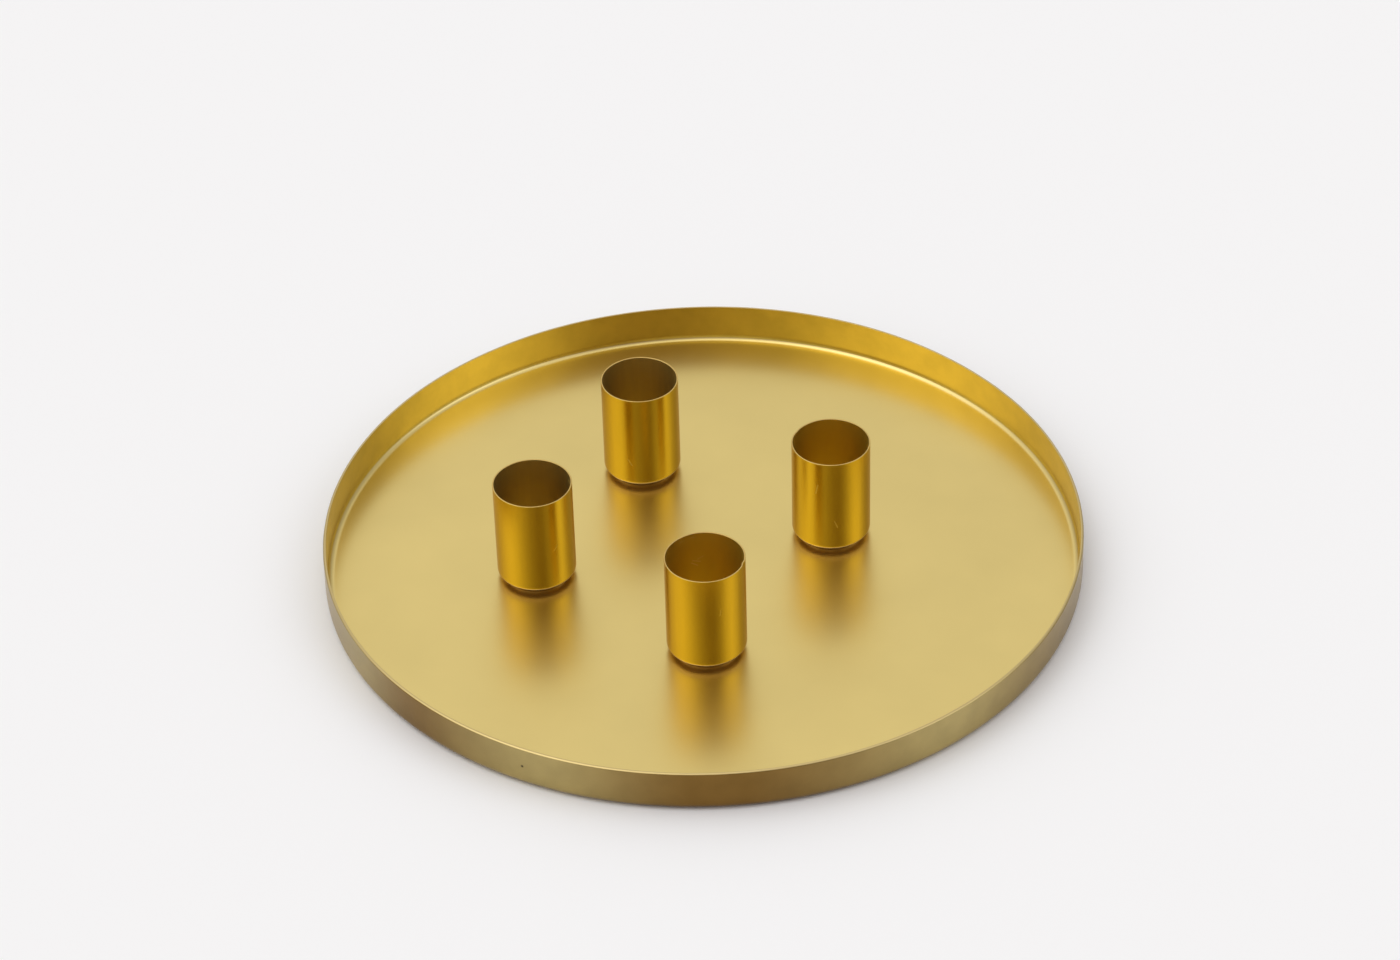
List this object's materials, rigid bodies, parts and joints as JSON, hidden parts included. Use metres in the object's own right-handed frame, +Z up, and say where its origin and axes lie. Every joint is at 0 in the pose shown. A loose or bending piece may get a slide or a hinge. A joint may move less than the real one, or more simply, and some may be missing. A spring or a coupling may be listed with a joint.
{
  "type": "candle plate",
  "caption": "Round shallow metal tray with an upright rim, and loose candle cups that stand on its floor on magnets and slide to where they are wanted.",
  "frame": {"origin": "centre of the tray's underside", "axes": "+Z up, square to the tray's floor; +Y to the back of the plate as the picture shows it; +X to the right"},
  "size_m": [0.24, 0.24, 0.0362],
  "materials": {
    "tray_gold": "satin",
    "cup_gold": "satin",
    "magnet_nickel": "polished",
    "adhesive": "matte"
  },
  "bodies": {
    "tray": {"tray": "tray_gold"},
    "cup_left": {"candle_cup_left": "cup_gold", "adhesive_disc_left": "adhesive", "magnet_left": "magnet_nickel"},
    "cup_back": {"candle_cup_back": "cup_gold", "adhesive_disc_back": "adhesive", "magnet_back": "magnet_nickel"},
    "cup_right": {"candle_cup_right": "cup_gold", "adhesive_disc_right": "adhesive", "magnet_right": "magnet_nickel"},
    "cup_front": {"candle_cup_front": "cup_gold", "adhesive_disc_front": "adhesive", "magnet_front": "magnet_nickel"}
  },
  "joints": [
    {"name": "cup_left_slide", "type": "slide", "parent": "tray", "child": "cup_left", "axis": [-0.9936, -0.1132, 0], "range_m": [-0.0322, 0.0532]},
    {"name": "cup_back_slide", "type": "slide", "parent": "tray", "child": "cup_back", "axis": [-0.373, 0.9278, 0], "range_m": [-0.0303, 0.0551]},
    {"name": "cup_right_slide", "type": "slide", "parent": "tray", "child": "cup_right", "axis": [0.9664, 0.2571, 0], "range_m": [-0.0215, 0.0639]},
    {"name": "cup_front_slide", "type": "slide", "parent": "tray", "child": "cup_front", "axis": [0.0052, -1, 0], "range_m": [-0.0246, 0.0608]}
  ]
}
